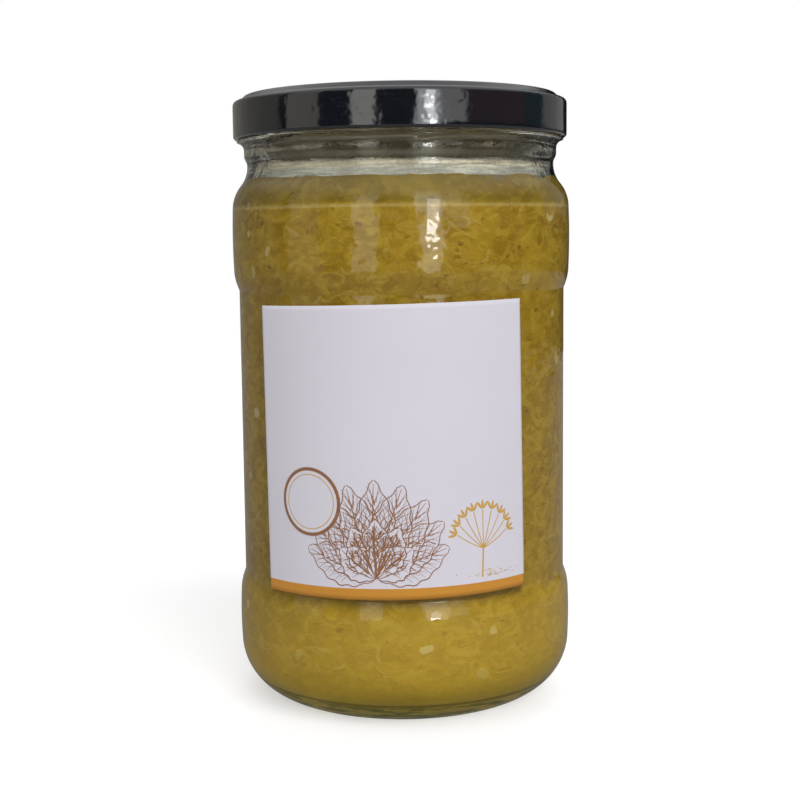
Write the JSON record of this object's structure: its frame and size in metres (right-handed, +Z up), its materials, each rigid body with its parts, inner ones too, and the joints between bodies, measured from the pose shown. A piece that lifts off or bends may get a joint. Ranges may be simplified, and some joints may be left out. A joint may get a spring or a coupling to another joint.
{
  "type": "sauerkraut jar",
  "caption": "Round glass food jar with a recessed label panel, a twist-off metal lid and a square wrapped label, filled with finely grated fermented cabbage.",
  "frame": {"origin": "on the jar's axis, at the height of the ring it stands on", "axes": "+Z up along the jar's axis, label towards -Y, +X to the right seen from the front"},
  "size_m": [0.0866, 0.0866, 0.1541],
  "materials": {
    "clear_glass": "clear with a faint green edge tint",
    "cabbage": "wet mustard-yellow mash with pale shreds",
    "lid_enamel": "gloss black enamel on steel",
    "label_paper": "matte white with an orange-gold band and line print"
  },
  "bodies": {
    "root": {"glass_jar": "clear_glass", "kraut": "cabbage", "lid": "lid_enamel", "label": "label_paper"}
  },
  "joints": []
}
